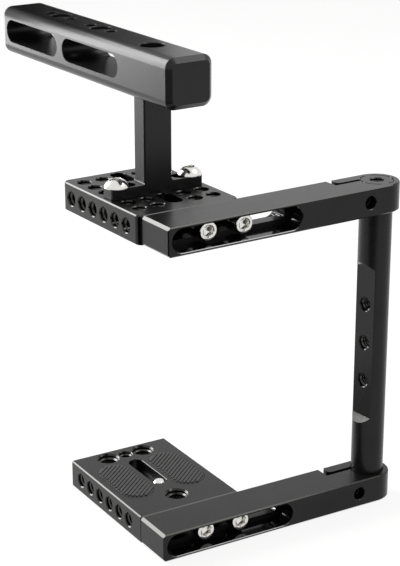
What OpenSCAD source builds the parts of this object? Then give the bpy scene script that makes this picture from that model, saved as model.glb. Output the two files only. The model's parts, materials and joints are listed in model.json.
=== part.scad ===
/* [Arms] */
// Thickness of both arms and both plates
arm_t = 13; // [12.5:0.5:16]
// Depth of an arm from its front face to its back face
arm_w = 20.5; // [20:0.5:24]
// Length of an arm from the post's axis to its free end
arm_len = 116; // [114:0.5:140]
// Lip left above and below the recess in an arm's front face
recess_lip = 1.3; // [1:0.1:1.5]
// Depth of the recess in an arm's front face
recess_depth = 10; // [9:0.5:11]
// Chamfer round the recess's mouth
recess_c = 0.3; // [0.1:0.1:0.4]
// Thickness of the web that the plate screws clamp against
web_t = 5; // [4:0.5:5.5]
// Width of the groove in an arm's back face
groove_w = 9; // [7:0.5:10]
// Distance from the post's axis to the centre of the slot's near end
slot_near = 53.4; // [40:0.1:60]
// Distance from the centre of the slot's far end to the arm's free end
slot_end_gap = 7.2; // [6.5:0.1:12]
// Chamfer along the edges of arms and plates
edge_c = 0.5; // [0.2:0.1:0.6]
// Chamfer across the free end of an arm
end_c = 1.2; // [0.6:0.1:2]

/* [Post] */
// Diameter of the post
post_d = 15; // [14:0.5:16]
// Height from the lower arm's underside to the upper arm's top
cage_h = 153.9; // [150:0.1:240]
// Turn of the upper arm about the post, in degrees, seen from above
upper_turn = 2.4; // [0:0.1:10]
// Turn of the post's flat away from the arms, in degrees
post_turn = 6; // [0:1:20]
// Depth of the flat below the post's surface
flat_cut = 2.95; // [2:0.05:4]
// Length of the flat between its sloping ends
flat_len = 72; // [50:1:100]
// Height of the flat's middle above the post's middle
flat_rise = 0.4; // [0:0.1:4]
// Distance between the threaded holes in the flat
flat_pitch = 18.6; // [12:0.1:20]
// Depth of the threaded holes in the flat
flat_hole_depth = 9; // [6:0.5:9]
// Depth of the threaded holes in the post's ends
end_hole_depth = 14; // [8:0.5:20]
// Radial clearance between the post and a clamp's bore
post_gap = 0.05; // [0.02:0.01:0.1]

/* [Clamps] */
// Width of the saw cut that lets a clamp close
slit_w = 2.2; // [1.5:0.1:2.6]
// Distance from the arm's middle line to the saw cut
slit_y = 2.4; // [1.8:0.1:2.6]
// Distance from the post's axis to the tip of the clamp finger
finger_reach = 18.5; // [17:0.5:22]
// Width of the notch beside the finger's tip
notch_w = 2.5; // [1.5:0.1:4]
// Rounding of the finger's tip
finger_tip_r = 2; // [1:0.1:2.2]
// Distance from the post's axis to the pinch screw
pinch_x = 11.1; // [11:0.1:12.5]
// Thread diameter of a pinch screw
pinch_d = 3; // [2.5:0.5:3]
// Depth of the seat for a pinch screw's head
pinch_sink = 6; // [5:0.5:7]

/* [Threads and screws] */
// Diameter of the small accessory thread
small_d = 6.35; // [6:0.05:6.5]
// Diameter of the large accessory thread
large_d = 9.525; // [9:0.025:9.8]
// Countersink round a small threaded hole
small_c = 0.4; // [0.2:0.05:0.5]
// Countersink round a large threaded hole
large_c = 0.7; // [0.3:0.05:0.8]
// Radial clearance between a screw and its threaded hole
thread_gap = 0.06; // [0.03:0.01:0.1]
// Radial clearance between a screw and a plain hole or slot
shank_gap = 0.25; // [0.15:0.05:0.3]
// Radial clearance round a screw's head in its counterbore
head_gap = 0.25; // [0.15:0.05:0.3]
// Thread diameter of the screws that hold a plate to its arm
plate_screw_d = 5; // [4:0.5:5]
// How far the plate screws reach into a plate
plate_bite = 5.5; // [4.5:0.1:6]
// Diameter of the dome heads on the handle's foot
dome_d = 10.8; // [10:0.1:12]
// Height of the dome heads
dome_h = 4.3; // [3.4:0.1:5]
// Height of the upright rim below a dome
dome_rim = 0.7; // [0.3:0.1:1]
// How far the dome screws reach into the top plate
dome_bite = 9.6; // [6:0.1:12]
// Thread diameter of the bolt that holds the grip
bolt_d = 6; // [5:0.5:6]
// How far the grip bolt reaches into the column
bolt_bite = 9; // [6:0.5:12]

/* [Plates] */
// Distance between neighbouring accessory holes
pitch = 9.3; // [9:0.1:9.5]
// Distance from the outer columns of holes to a plate's side
plate_edge = 6.7; // [6.2:0.1:8]
// Distance from a plate's middle to its outer screw
screw_off = 0.8; // [0:0.1:2]
// Distance between a plate's two screws
screw_pitch = 18.1; // [14:0.1:18.6]
// Distance from an arm's free end to the base plate's middle
base_inset = 25.5; // [20:0.1:29]
// Length of the base plate away from its arm
base_l = 68; // [67:0.5:80]
// Distance from the base plate's arm face to its first side hole
base_row = 11.9; // [10:0.1:12]
// Rounding of the base plate's upright corners
base_r = 0.8; // [0.7:0.1:3]
// Depth of the side holes in the base plate
base_side_depth = 9; // [6:0.5:9.5]
// Distance from an arm's free end to the top plate's middle
top_inset = 23.8; // [20:0.1:27]
// Length of the top plate away from its arm
top_l = 65; // [63.5:0.5:75]
// Distance from the top plate's arm face to its first row of holes
top_row = 10.4; // [9.5:0.1:11.5]
// Rounding of the top plate's upright corners
top_r = 3; // [0.7:0.1:4]
// Depth of the side holes in the top plate
top_side_depth = 10.4; // [10:0.1:11]
// Width of the two slots in the top plate
top_slot_w = 7; // [6.6:0.1:7.4]
// Length of each slot in the top plate from end to end
top_slot_l = 15; // [10:0.1:15.4]
// Distance from the top plate's arm face to its near slot
near_slot_y = 8.8; // [8.6:0.1:10]
// Wall left between the far slot and the top plate's far end
far_wall = 2.2; // [2:0.1:5]

/* [Camera seat] */
// Width of the camera slot in the base plate
cam_slot_w = 7; // [6.9:0.1:7.4]
// Distance from the arm face to the centre of the slot's near end
cam_slot_y = 28.25; // [28:0.05:29]
// Distance from the centre of the slot's far end to the rear row of holes
rear_gap = 10.75; // [10.5:0.05:16]
// Length of the camera screw's thread
cam_thread_l = 4.7; // [4:0.1:5]
// Diameter of the camera screw's neck
cam_neck_d = 4.8; // [4.2:0.1:5]
// Thickness of the web that keeps the camera screw captive
cam_web = 1.2; // [1:0.1:1.5]
// Diameter of the camera screw's head
cam_head_d = 12; // [10:0.1:12.4]
// Height of the camera screw's head
cam_head_h = 2.2; // [1.8:0.1:2.4]
// Distance from the camera screw's head to the base plate's underside
cam_rise = 0.2; // [0.1:0.05:0.4]
// Thickness of the washer that rides under the web
washer_t = 0.6; // [0.4:0.1:0.8]
// Distance from the arm face to the front large hole
front_hole_y = 12.2; // [11.8:0.1:13]
// Distance from the rear row of holes to the base plate's far end
rear_inset = 7; // [6.4:0.1:7.2]
// Distance from the plate's middle to a pad's inner edge
pad_in = 5.4; // [5:0.1:7]
// Distance from a pad's outer edge to the plate's side
pad_edge = 3.6; // [3:0.1:6]
// Distance from a pad's far end to the base plate's far end
pad_end = 13.9; // [13.6:0.1:20]
// Distance from the arm face to a pad's near end
pad_y = 17.4; // [16.5:0.1:18]
// Depth of the recess that a pad lies in
pad_sink = 1; // [0.6:0.1:1.4]
// Height of a pad's base above the plate
pad_rise = 0.1; // [0.1:0.05:0.4]
// Height of a pad's ribs
rib_h = 0.35; // [0.2:0.05:0.6]
// Distance between neighbouring ribs
rib_pitch = 1.75; // [1.4:0.05:2.4]
// Slant of the ribs to the arm, in degrees
rib_slant = 40; // [20:1:60]

/* [Handle] */
// Thickness of the handle's foot
foot_t = 4.8; // [3.5:0.1:6]
// Wall left between a slot in the foot and the foot's end
foot_wall = 1; // [0.8:0.1:2]
// Length of the foot's slots between their end centres
foot_slot = 5.6; // [2:0.1:5.8]
// Depth of the foot and the column
bracket_d = 8.6; // [8.4:0.1:12]
// Width of the column
column_w = 14; // [12:0.1:14.5]
// Chamfer along the column's upright edges
column_c = 0.6; // [0.2:0.1:1]
// Height of the grip's underside above the top plate
handle_h = 41.9; // [35:0.1:60]
// Fillet between the column and the foot
fillet_r = 0.7; // [0.5:0.1:1.8]
// Rounding of the foot's upright corners
foot_r = 1.5; // [0.8:0.1:2]
// Width of the grip
grip_w = 22.7; // [18:0.1:24]
// Sideways distance from the column's middle to the grip's
grip_off = 0.8; // [0:0.1:1]
// Height of the grip
grip_h = 22; // [21:0.1:26]
// Length of the grip
grip_l = 147; // [146.8:0.1:170]
// Rounding of the grip's long edges
grip_r = 4.4; // [3.2:0.1:5.2]
// Chamfer round the grip's near end
grip_c = 2.2; // [0.8:0.1:2.6]
// Rounding of the grip's far end
grip_end_r = 3; // [1:0.1:3.2]
// Distance from the grip's near end to its bolt
bolt_y = 29; // [20:0.1:30]
// Thickness of the grip under the bolt's head
bolt_seat = 7; // [4:0.1:8]
// Distance from the grip's near end to its first slot
grip_slot_y = 40.4; // [39.8:0.1:41]
// Height of the two through slots in the grip
grip_slot_h = 10.3; // [8:0.1:11]
// Length of each through slot in the grip
grip_slot_l = 48.5; // [40:0.5:48.5]
// Width of the rib between the two slots
grip_rib = 5; // [3:0.1:5.4]
// Height of the slots' middle above the grip's underside
grip_slot_z = 11.4; // [10:0.1:12]
// Distance from the rib to each group of accessory holes
anchor_off = 18; // [16:0.1:22]
// Distance from a group's large hole to its locating holes
pin_off = 9; // [8.5:0.1:10]
// Play round the grip bolt's head in its counterbore
bolt_head_gap = 0.5; // [0.25:0.05:0.7]
// Diameter of the locating holes
pin_d = 5; // [4:0.1:5.2]

/* [Hidden] */
$fn = 64;
// How far every cut runs past the face that it opens
over = 0.5;
// Threaded holes in the post's flat
flat_holes = 3;
// Grid columns of the top plate, counted in hole distances from its middle
outer_column = 2;
grid_columns = [-outer_column, -1, 1, outer_column];
// The grid row that the handle stands on
handle_row = 2;
// Least wall beyond the last hole of a plate's rows
row_wall = 2;
// Faces, centres and counts that follow from the sizes above
plate_y = arm_w / 2;
plate_w = 2 * (outer_column * pitch + plate_edge);
base_x = arm_len - base_inset;
top_x = arm_len - top_inset;
row_end = small_d / 2 + small_c + edge_c + row_wall;
base_rows = floor((base_l - base_row - row_end) / pitch) + 1;
top_rows = floor((top_l - top_row - row_end) / pitch) + 1;
rear_hole_y = base_l - rear_inset;
cam_travel = rear_hole_y - rear_gap - cam_slot_y;
pad_l = base_l - pad_y - pad_end;
pad_w = plate_w / 2 - pad_edge - pad_in;
pad_off = pad_in + pad_w / 2;
far_slot_y = top_l - far_wall - top_slot_l;
upper_z = cage_h - arm_t;
seat_y = recess_depth - plate_y;
recess_r = arm_t / 2 - recess_lip;
slot_far = arm_len - slot_end_gap;
handle_y = plate_y + top_row + handle_row * pitch;
grip_y = handle_y - bolt_y;
rib_mid_y = grip_slot_y + grip_slot_l + grip_rib / 2;
// Small edges
slot_c = 0.2;
screw_c = 0.3;
post_c = 0.5;
foot_c = 0.2;
hole_c = 0.3;
// Cap screws: head and hex socket as shares of the thread's diameter
plate_head_share = 1.7;
pinch_head_share = 1.83;
bolt_head_share = 1.65;
socket_share = 0.8;
socket_depth_share = 0.5;
dome_socket_share = 0.62;
dome_socket_depth_share = 0.5;
// What a threaded hole runs on past its screw's tip
tap_gap = 0.6;
// What a pinch screw stays short of the arm's back face
pinch_short = 0.5;
// Camera screw: play at the web, play round its head, coin slot in its head
cam_play = 0.1;
cam_head_gap = 0.5;
coin_w = 1.4;
coin_depth = 1.1;
cam_web_top = arm_t - cam_thread_l - cam_play;
cam_web_low = cam_web_top - cam_web;
cam_slot_r = cam_neck_d / 2 + shank_gap;
cam_bay_r = cam_head_d / 2 + cam_head_gap;
// Rubber pads: gap round a pad in its recess, width of a rib as a share of the pitch
pad_gap = 0.15;
rib_share = 0.5;

dark = "#2c2d2f";
steel = "#c9cacb";
rubber = "#1b1b1c";

// Places its children in the upper arm's own frame, with the arm's underside at zero
module upper() {
    rotate([0, 0, upper_turn]) translate([0, 0, upper_z]) children();
}

// Turns a hole, drawn downward from zero, so that it opens to the front, the back or the side
module to_front() rotate([90, 0, 0]) children();
module to_back() rotate([-90, 0, 0]) children();
module to_side() rotate([0, -90, 0]) children();

// Hole downward from zero, with a countersunk mouth
module hole(d, depth, c) {
    translate([0, 0, -depth]) cylinder(d = d, h = depth + over);
    translate([0, 0, -c]) cylinder(r1 = d / 2, r2 = d / 2 + c + over, h = c + over);
}

// The same right through a wall, countersunk on both faces
module through_hole(d, wall, c) {
    hole(d, wall + over, c);
    translate([0, 0, -wall]) mirror([0, 0, 1]) hole(d, over, c);
}

// Slot with round ends, downward from zero, between end centres l apart along X
module slot(l, r, depth) {
    translate([0, 0, -depth]) {
        cylinder(r = r, h = depth + over);
        translate([l, 0, 0]) cylinder(r = r, h = depth + over);
        translate([0, -r, 0]) cube([l, 2 * r, depth + over]);
    }
}

// Countersink round such a slot
module slot_mouth(l, r, c) {
    for (x = [0, l]) translate([x, 0, -c]) cylinder(r1 = r, r2 = r + c + over, h = c + over);
    rotate([90, 0, 90]) linear_extrude(l)
        polygon([[-r, -c], [r, -c], [r + c + over, over], [-r - c - over, over]]);
}

// Disc with a chamfer round both rims
module disc(r, h, c) {
    rotate_extrude()
        polygon([[0, 0], [r - c, 0], [r, c], [r, h - c], [r - c, h], [0, h]]);
}

// Rectangle with cut corners, centred on X, standing on zero
module cut_corners(w, h, c) {
    polygon([[c - w / 2, 0], [w / 2 - c, 0], [w / 2, c], [w / 2, h - c],
        [w / 2 - c, h], [c - w / 2, h], [-w / 2, h - c], [-w / 2, c]]);
}

// Plate with rounded upright corners and chamfered edges, centred on X, from y = 0 to y = l
module plate(w, l, t, r, c) {
    for (x = [r - w / 2, w / 2 - r]) for (y = [r, l - r]) translate([x, y, 0]) disc(r, t, c);
    translate([0, l - r, 0]) rotate([90, 0, 0]) linear_extrude(l - 2 * r) cut_corners(w, t, c);
    translate([r - w / 2, l / 2, 0]) rotate([90, 0, 90]) linear_extrude(w - 2 * r)
        cut_corners(l, t, c);
}

// Cap screw along Z, its head's seat at zero and its head below
module cap_screw(d, head_d, l) {
    r = d / 2 - thread_gap;
    difference() {
        rotate_extrude() polygon([[0, -d], [head_d / 2 - screw_c, -d], [head_d / 2, screw_c - d],
            [head_d / 2, 0], [r, 0], [r, l - screw_c], [r - screw_c, l], [0, l]]);
        translate([0, 0, -d - over])
            cylinder(r = socket_share * d / 2 / cos(30), h = socket_depth_share * d + over, $fn = 6);
    }
}

// Arm in its own frame: post's axis at zero, free end towards negative X
module arm() {
    difference() {
        arm_blank();
        clamp_cuts();
        // recess, slot and groove for the plate screws
        translate([-slot_far, -plate_y, arm_t / 2]) to_front() {
            slot(slot_far - slot_near, recess_r, recess_depth);
            slot_mouth(slot_far - slot_near, recess_r, recess_c);
            slot(slot_far - slot_near, plate_screw_d / 2 + shank_gap, arm_w + over);
        }
        translate([-slot_far, plate_y, arm_t / 2]) to_back()
            slot(slot_far - slot_near, groove_w / 2, arm_w - recess_depth - web_t);
    }
}

// Bar with a chamfered end, and the round boss about the post
module arm_blank() {
    intersection() {
        translate([-arm_len, 0, 0]) rotate([90, 0, 90]) linear_extrude(arm_len)
            cut_corners(arm_w, arm_t, edge_c);
        translate([0, arm_w, 0]) rotate([90, 0, 0]) linear_extrude(2 * arm_w)
            polygon([[0, 0], [end_c - arm_len, 0], [-arm_len, end_c],
                [-arm_len, arm_t - end_c], [end_c - arm_len, arm_t], [0, arm_t]]);
        linear_extrude(arm_t)
            polygon([[0, -plate_y], [edge_c - arm_len, -plate_y], [-arm_len, edge_c - plate_y],
                [-arm_len, plate_y - edge_c], [edge_c - arm_len, plate_y], [0, plate_y]]);
    }
    disc(plate_y, arm_t, edge_c);
}

// Bore, saw cut, notch and screw hole of the split clamp
module clamp_cuts() {
    bore_r = post_d / 2 + post_gap;
    tip_y = slit_y + slit_w;
    translate([0, 0, arm_t]) through_hole(2 * bore_r, arm_t, hole_c);
    translate([0, 0, -over]) linear_extrude(arm_t + 2 * over) {
        translate([-finger_reach - notch_w, slit_y]) square([finger_reach + notch_w, slit_w]);
        difference() {
            translate([-finger_reach - notch_w, slit_y])
                square([notch_w + finger_tip_r, plate_y - slit_y + over]);
            translate([finger_tip_r - finger_reach, tip_y + finger_tip_r]) circle(finger_tip_r);
            translate([finger_tip_r - finger_reach, plate_y - finger_tip_r]) circle(finger_tip_r);
            translate([-finger_reach, tip_y + finger_tip_r])
                square([finger_tip_r + over, plate_y - tip_y - 2 * finger_tip_r]);
        }
    }
    translate([-pinch_x, -plate_y, arm_t / 2]) to_front() {
        hole(pinch_head_share * pinch_d + 2 * head_gap, pinch_sink, hole_c);
        hole(pinch_d + 2 * shank_gap, plate_y + slit_y + over, 0);
        hole(pinch_d, arm_w + over, 0);
    }
}

// Screw that closes the split clamp
module pinch_screw() {
    seat = pinch_sink - plate_y;
    translate([-pinch_x, seat, arm_t / 2]) to_back()
        cap_screw(pinch_d, pinch_head_share * pinch_d, plate_y - seat - pinch_short);
}

// Screw through the arm's slot into a plate, at a distance from the post's axis
module plate_screw(x) {
    translate([-x, seat_y, arm_t / 2]) to_back()
        cap_screw(plate_screw_d, plate_head_share * plate_screw_d, plate_y - seat_y + plate_bite);
}

// The two threaded holes that the plate screws enter
module plate_taps(middle) {
    for (x = [screw_off, screw_off - screw_pitch])
        translate([-middle - x, plate_y, arm_t / 2]) rotate([90, 0, 0])
            hole(plate_screw_d, plate_bite + tap_gap, hole_c);
}

// Row of small threaded holes in a plate's side, away from the post
module side_holes(middle, first, depth, count) {
    for (i = [0 : count - 1])
        translate([-middle - plate_w / 2, plate_y + first + i * pitch, arm_t / 2])
            to_side() hole(small_d, depth, small_c);
}

module lower_arm() color(dark) arm();

module upper_arm() color(dark) upper() arm();

module lower_pinch_screw() color(steel) pinch_screw();

module upper_pinch_screw() color(steel) upper() pinch_screw();

module base_screw_outer() color(steel) plate_screw(base_x + screw_off);

module base_screw_inner() color(steel) plate_screw(base_x + screw_off - screw_pitch);

module top_screw_outer() color(steel) upper() plate_screw(top_x + screw_off);

module top_screw_inner() color(steel) upper() plate_screw(top_x + screw_off - screw_pitch);

// Round post with a flat whose ends slope at 45 degrees, three threaded holes in it and one in each end
module post() {
    r = post_d / 2;
    flat_x = r - flat_cut;
    run_out = flat_cut + over;
    flat_z = cage_h / 2 + flat_rise;
    color(dark) rotate([0, 0, post_turn]) difference() {
        disc(r, cage_h, post_c);
        translate([-flat_x, r + over, flat_z]) rotate([90, 0, 0])
            linear_extrude(post_d + 2 * over)
                polygon([[0, -flat_len / 2], [-run_out, -flat_len / 2 - run_out],
                    [-run_out, flat_len / 2 + run_out], [0, flat_len / 2]]);
        for (i = [0 : flat_holes - 1])
            translate([-flat_x, 0, flat_z + (i - (flat_holes - 1) / 2) * flat_pitch])
                to_side() hole(small_d, flat_hole_depth, small_c);
        translate([0, 0, cage_h]) hole(small_d, end_hole_depth, small_c);
        mirror([0, 0, 1]) hole(small_d, end_hole_depth, small_c);
    }
}

// Places its children on the base plate: its middle on X, the arm face at y = 0
module on_base() {
    translate([-base_x, plate_y, 0]) children();
}

// Stepped slot for the captive camera screw: slot, web, and bay for the head
module camera_slot() {
    translate([0, cam_slot_y, 0]) rotate([0, 0, 90]) {
        translate([0, 0, arm_t]) slot(cam_travel, cam_slot_w / 2, arm_t - cam_web_top);
        translate([0, 0, arm_t]) slot_mouth(cam_travel, cam_slot_w / 2, slot_c);
        translate([0, 0, arm_t]) slot(cam_travel, cam_slot_r, arm_t + over);
        mirror([0, 0, 1]) slot(cam_travel, cam_bay_r, cam_web_low);
        mirror([0, 0, 1]) slot_mouth(cam_travel, cam_bay_r, slot_c);
    }
}

module base_plate() {
    color(dark) difference() {
        on_base() plate(plate_w, base_l, arm_t, base_r, edge_c);
        plate_taps(base_x);
        side_holes(base_x, base_row, base_side_depth, base_rows);
        on_base() {
            camera_slot();
            translate([0, front_hole_y, arm_t]) through_hole(large_d, arm_t, large_c);
            translate([0, rear_hole_y, arm_t]) through_hole(small_d, arm_t, small_c);
            for (x = [-pitch, pitch])
                translate([x, rear_hole_y, arm_t]) through_hole(large_d, arm_t, large_c);
            for (x = [-pad_off, pad_off])
                translate([x, pad_y + pad_w / 2, arm_t]) rotate([0, 0, 90])
                    slot(pad_l - pad_w, pad_w / 2, pad_sink);
        }
    }
}

// Rubber pad in its recess, ribbed on top, at a distance from the plate's middle
module pad(x) {
    r = pad_w / 2 - pad_gap;
    l = pad_l - pad_w;
    reach = pad_l / 2;
    count = floor(pad_l / rib_pitch);
    base_h = pad_sink + pad_rise;
    color(rubber) on_base() translate([x, pad_y + pad_w / 2, arm_t - pad_sink]) {
        translate([0, 0, base_h]) rotate([0, 0, 90]) intersection() {
            slot(l, r, base_h);
            translate([-pad_w, -pad_w, -base_h]) cube([l + 2 * pad_w, 2 * pad_w, base_h]);
        }
        intersection() {
            translate([0, l / 2, base_h]) rotate([0, 0, rib_slant])
                for (i = [0 : count])
                    translate([-reach, (i - count / 2 - rib_share / 2) * rib_pitch, -rib_h])
                        cube([pad_l, rib_share * rib_pitch, 2 * rib_h]);
            translate([0, 0, base_h + rib_h]) rotate([0, 0, 90])
                slot(l, r, base_h);
        }
    }
}

module left_pad() pad(-pad_off);

module right_pad() pad(pad_off);

// Camera screw: coin-slotted head, neck through the web, and thread
module camera_screw() {
    r = small_d / 2 - thread_gap;
    neck = cam_neck_d / 2;
    top = cam_rise + cam_head_h;
    color(steel) on_base() translate([0, cam_slot_y, 0]) difference() {
        rotate_extrude() polygon([[0, cam_rise], [cam_head_d / 2 - screw_c, cam_rise],
            [cam_head_d / 2, cam_rise + screw_c], [cam_head_d / 2, top - screw_c],
            [cam_head_d / 2 - screw_c, top], [neck, top], [neck, arm_t - cam_thread_l],
            [r, arm_t - cam_thread_l], [r, arm_t - screw_c], [r - screw_c, arm_t], [0, arm_t]]);
        translate([-cam_head_d / 2 - over, -coin_w / 2, cam_rise - over])
            cube([cam_head_d + 2 * over, coin_w, coin_depth + over]);
    }
}

// Washer on the camera screw's neck, under the web
module camera_screw_washer() {
    color(steel) on_base() translate([0, cam_slot_y, cam_web_low - cam_play - washer_t])
        difference() {
            cylinder(d = cam_head_d, h = washer_t);
            translate([0, 0, -over]) cylinder(r = cam_slot_r, h = washer_t + 2 * over);
        }
}

// Places its children on the top plate: its middle on X, its upper face at z = 0
module on_top() {
    upper() translate([-top_x, 0, arm_t]) children();
}

module top_plate() {
    color(dark) upper() difference() {
        translate([-top_x, plate_y, 0]) plate(plate_w, top_l, arm_t, top_r, edge_c);
        plate_taps(top_x);
        side_holes(top_x, top_row, top_side_depth, top_rows);
        translate([-top_x, plate_y, arm_t]) {
            for (column = grid_columns) for (i = [0 : top_rows - 1])
                translate([column * pitch, top_row + i * pitch, 0])
                    through_hole(small_d, arm_t, small_c);
            for (y = [near_slot_y, far_slot_y])
                translate([0, y + top_slot_w / 2, 0]) rotate([0, 0, 90]) {
                    slot(top_slot_l - top_slot_w, top_slot_w / 2, arm_t + over);
                    slot_mouth(top_slot_l - top_slot_w, top_slot_w / 2, slot_c);
                }
        }
    }
}

// Foot and column in one piece, with two slots in the foot and a threaded hole on top
module handle_bracket() {
    slot_r = small_d / 2 + shank_gap;
    slot_x = outer_column * pitch;
    foot_l = 2 * (slot_x + slot_r + foot_wall);
    color(dark) on_top() difference() {
        union() {
            translate([0, handle_y - bracket_d / 2, 0])
                plate(foot_l, bracket_d, foot_t, foot_r, foot_c);
            translate([0, handle_y - bracket_d / 2, 0]) linear_extrude(handle_h)
                cut_corners(column_w, bracket_d, column_c);
            for (side = [0, 1]) mirror([side, 0, 0]) column_fillet();
        }
        for (side = [0, 1]) mirror([side, 0, 0])
            translate([slot_x - foot_slot, handle_y, foot_t]) slot(foot_slot, slot_r, foot_t + over);
        translate([0, handle_y, handle_h]) hole(bolt_d, bolt_bite + tap_gap, hole_c);
    }
}

// Fillet between the foot's upper face and one side of the column
module column_fillet() {
    translate([column_w / 2, handle_y + bracket_d / 2, foot_t]) rotate([90, 0, 0])
        linear_extrude(bracket_d) difference() {
            translate([-over, -over]) square(fillet_r + over);
            translate([fillet_r, fillet_r]) circle(fillet_r);
        }
}

// Outline of the grip's plan or side view: near end chamfered, far end rounded
module grip_outline(w) {
    far = grip_l - grip_end_r;
    polygon([[grip_c - w / 2, 0], [w / 2 - grip_c, 0], [w / 2, grip_c], [w / 2, far],
        [-w / 2, far], [-w / 2, grip_c]]);
    translate([grip_end_r - w / 2, grip_c]) square([w - 2 * grip_end_r, grip_l - grip_c]);
    for (x = [grip_end_r - w / 2, w / 2 - grip_end_r]) translate([x, far]) circle(grip_end_r);
}

// Round bar for one long edge of the grip, standing on its near end
module grip_edge() {
    rotate_extrude() intersection() {
        grip_outline(2 * grip_r);
        square([grip_r, grip_l]);
    }
}

// Solid of the grip, rounded along its long edges
module grip_body() {
    x = grip_w / 2 - grip_r;
    z = grip_h - 2 * grip_r;
    for (side = [-x, x]) for (height = [grip_r, grip_r + z])
        translate([side, 0, height]) rotate([-90, 0, 0]) grip_edge();
    translate([0, 0, grip_r]) linear_extrude(z) grip_outline(grip_w);
    translate([-x, 0, grip_h / 2]) rotate([0, 90, 0]) linear_extrude(2 * x) grip_outline(grip_h);
}

// Group of accessory holes from the grip's top into its slots
module anchor_holes() {
    wall = grip_h - grip_slot_z;
    hole(large_d, wall, hole_c);
    for (y = [-pin_off, pin_off]) translate([0, y, 0]) hole(pin_d, wall, hole_c);
}

module handle_grip() {
    r = grip_slot_h / 2;
    color(dark) on_top() translate([0, grip_y, handle_h]) difference() {
        translate([grip_off, 0, 0]) grip_body();
        for (y = [grip_slot_y, grip_slot_y + grip_slot_l + grip_rib])
            translate([grip_off - grip_w / 2, y + r, grip_slot_z]) rotate([0, -90, 0]) rotate([0, 0, 90]) {
                slot(grip_slot_l - 2 * r, r, grip_w + over);
                slot_mouth(grip_slot_l - 2 * r, r, slot_c);
            }
        translate([0, bolt_y, grip_h]) {
            hole(bolt_head_share * bolt_d + 2 * bolt_head_gap, grip_h - bolt_seat, hole_c);
            hole(bolt_d + 2 * shank_gap, grip_h + over, 0);
        }
        for (side = [-1, 1])
            translate([grip_off, rib_mid_y + side * anchor_off, grip_h]) anchor_holes();
    }
}

module grip_bolt() {
    color(steel) on_top() translate([0, handle_y, handle_h + bolt_seat]) mirror([0, 0, 1])
        cap_screw(bolt_d, bolt_head_share * bolt_d, bolt_seat + bolt_bite);
}

// Dome-head screw through the foot into the top plate's grid
module dome_screw(x) {
    r = small_d / 2 - thread_gap;
    cap_h = dome_h - dome_rim;
    ball_r = (cap_h * cap_h + dome_d * dome_d / 4) / (2 * cap_h);
    l = foot_t + dome_bite;
    socket_d = dome_socket_share * small_d;
    color(steel) on_top() translate([x, handle_y, foot_t]) difference() {
        union() {
            rotate_extrude() intersection() {
                translate([0, dome_h - ball_r]) circle(ball_r);
                square([dome_d / 2, dome_h]);
            }
            translate([0, 0, -l]) rotate_extrude()
                polygon([[0, 0], [r - screw_c, 0], [r, screw_c], [r, l], [0, l]]);
        }
        translate([0, 0, dome_h - dome_socket_depth_share * dome_h])
            cylinder(r = socket_d / 2 / cos(30), h = dome_h, $fn = 6);
    }
}

module left_handle_screw() dome_screw(-outer_column * pitch);

module right_handle_screw() dome_screw(outer_column * pitch);

lower_arm();
upper_arm();
post();
base_plate();
top_plate();
left_pad();
right_pad();
camera_screw();
camera_screw_washer();
base_screw_inner();
base_screw_outer();
top_screw_inner();
top_screw_outer();
lower_pinch_screw();
upper_pinch_screw();
handle_bracket();
handle_grip();
grip_bolt();
left_handle_screw();
right_handle_screw();
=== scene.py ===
# %% [markdown]
# # A half cage for a camera
# Two slotted bars are clamped on a round post. The lower one carries a padded base plate for
# the camera, the upper one a drilled plate with a handle. Nearly all of it is milled aluminium,
# bead-blasted and anodised black, so the whole picture lives on how satin black reflects a
# white studio. The solids come from the CAD model and stay as they are. This script gives them
# their finishes, and adds what is too fine for the solids: threads, screws and ribbed pads.

# %% Load the solids
import json
from math import atan2, cos, degrees, pi, radians, sin

import bmesh
import bpy
from mathutils import Matrix, Vector


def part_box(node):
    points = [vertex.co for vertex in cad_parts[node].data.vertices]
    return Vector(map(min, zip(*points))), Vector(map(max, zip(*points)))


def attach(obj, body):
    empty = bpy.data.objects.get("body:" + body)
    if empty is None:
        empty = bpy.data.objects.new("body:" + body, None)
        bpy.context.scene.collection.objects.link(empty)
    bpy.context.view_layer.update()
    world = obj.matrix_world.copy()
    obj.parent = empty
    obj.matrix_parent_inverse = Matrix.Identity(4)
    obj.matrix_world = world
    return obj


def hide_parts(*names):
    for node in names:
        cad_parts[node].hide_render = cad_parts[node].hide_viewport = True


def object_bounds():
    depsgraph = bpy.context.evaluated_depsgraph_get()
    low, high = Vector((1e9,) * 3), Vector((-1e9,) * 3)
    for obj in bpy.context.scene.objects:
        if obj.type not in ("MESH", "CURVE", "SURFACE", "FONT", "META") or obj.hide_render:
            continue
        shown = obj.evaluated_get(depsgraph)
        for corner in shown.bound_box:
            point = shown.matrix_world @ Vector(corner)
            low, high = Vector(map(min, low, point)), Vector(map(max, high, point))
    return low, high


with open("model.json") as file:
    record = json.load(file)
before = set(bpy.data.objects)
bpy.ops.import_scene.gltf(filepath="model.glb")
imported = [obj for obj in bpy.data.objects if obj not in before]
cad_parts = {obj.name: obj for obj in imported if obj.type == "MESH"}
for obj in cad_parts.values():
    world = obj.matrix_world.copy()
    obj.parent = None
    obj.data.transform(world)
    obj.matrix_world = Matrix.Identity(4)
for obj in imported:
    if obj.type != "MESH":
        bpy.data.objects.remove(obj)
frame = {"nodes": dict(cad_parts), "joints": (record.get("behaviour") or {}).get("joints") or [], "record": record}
nodes = frame["nodes"]
mounts = {mount["name"]: mount for mount in frame["record"]["mounts"]}
joints = {joint["name"]: joint for joint in frame["joints"]}
cad_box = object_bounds()
MM = 0.001
print("solids:", len(nodes))
print("box in mm:", [round(c / MM, 1) for corner in cad_box for c in corner])

# %% [markdown]
# ## Directions
# The upper arm is clamped at a small angle to the lower one, so everything on it is turned. Its
# direction is read from the joint along which the top plate slides, never typed in twice.

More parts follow.
